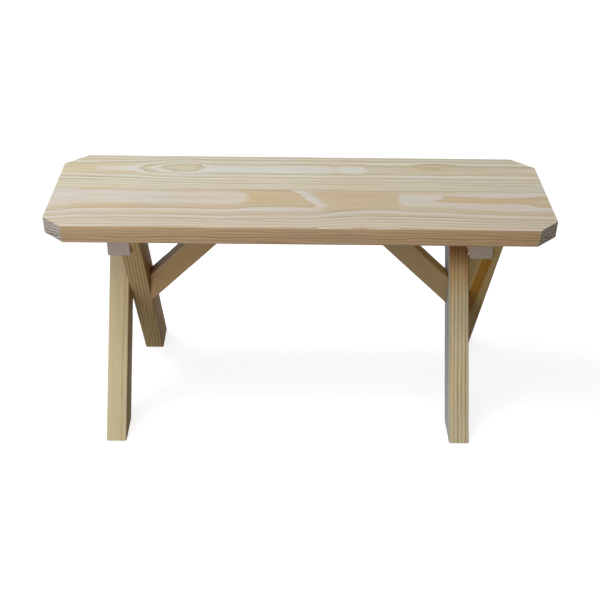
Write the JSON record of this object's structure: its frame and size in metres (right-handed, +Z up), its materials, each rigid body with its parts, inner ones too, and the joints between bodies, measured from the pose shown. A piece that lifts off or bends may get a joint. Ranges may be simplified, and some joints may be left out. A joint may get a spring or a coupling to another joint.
{
  "type": "trestle bench",
  "caption": "Backless wooden bench with a clipped-corner plank seat on crossed-leg trestles, each with a top cleat and a mitred brace.",
  "frame": {"origin": "on the floor, under the middle of the seat", "axes": "+X along the seat, +Y from front to rear, +Z up"},
  "size_m": [0.9144, 0.4064, 0.4318],
  "materials": {
    "seat_pine": "planed, unfinished",
    "leg_pine": "planed, unfinished",
    "cleat_pine": "planed, with rough-sawn ends",
    "brace_pine": "planed, unfinished",
    "screw_zinc": "zinc plated"
  },
  "bodies": {
    "root": {"seat_board_front": "seat_pine", "seat_board_rear": "seat_pine", "leg_outer_left": "leg_pine", "leg_inner_left": "leg_pine", "leg_outer_right": "leg_pine", "leg_inner_right": "leg_pine", "cleat_left": "cleat_pine", "cleat_right": "cleat_pine", "brace_left": "brace_pine", "brace_right": "brace_pine", "cleat_screw_1_left": "screw_zinc", "cleat_screw_2_left": "screw_zinc", "cleat_screw_3_left": "screw_zinc", "cleat_screw_4_left": "screw_zinc", "cleat_screw_1_right": "screw_zinc", "cleat_screw_2_right": "screw_zinc", "cleat_screw_3_right": "screw_zinc", "cleat_screw_4_right": "screw_zinc", "brace_head_screw_front_left": "screw_zinc", "brace_head_screw_rear_left": "screw_zinc", "brace_head_screw_front_right": "screw_zinc", "brace_head_screw_rear_right": "screw_zinc", "brace_foot_screw_left": "screw_zinc", "brace_foot_screw_right": "screw_zinc", "leg_top_screw_outer_left": "screw_zinc", "leg_top_screw_inner_left": "screw_zinc", "leg_top_screw_outer_right": "screw_zinc", "leg_top_screw_inner_right": "screw_zinc", "crossing_screw_front_left": "screw_zinc", "crossing_screw_rear_left": "screw_zinc", "crossing_screw_front_right": "screw_zinc", "crossing_screw_rear_right": "screw_zinc"}
  },
  "joints": []
}
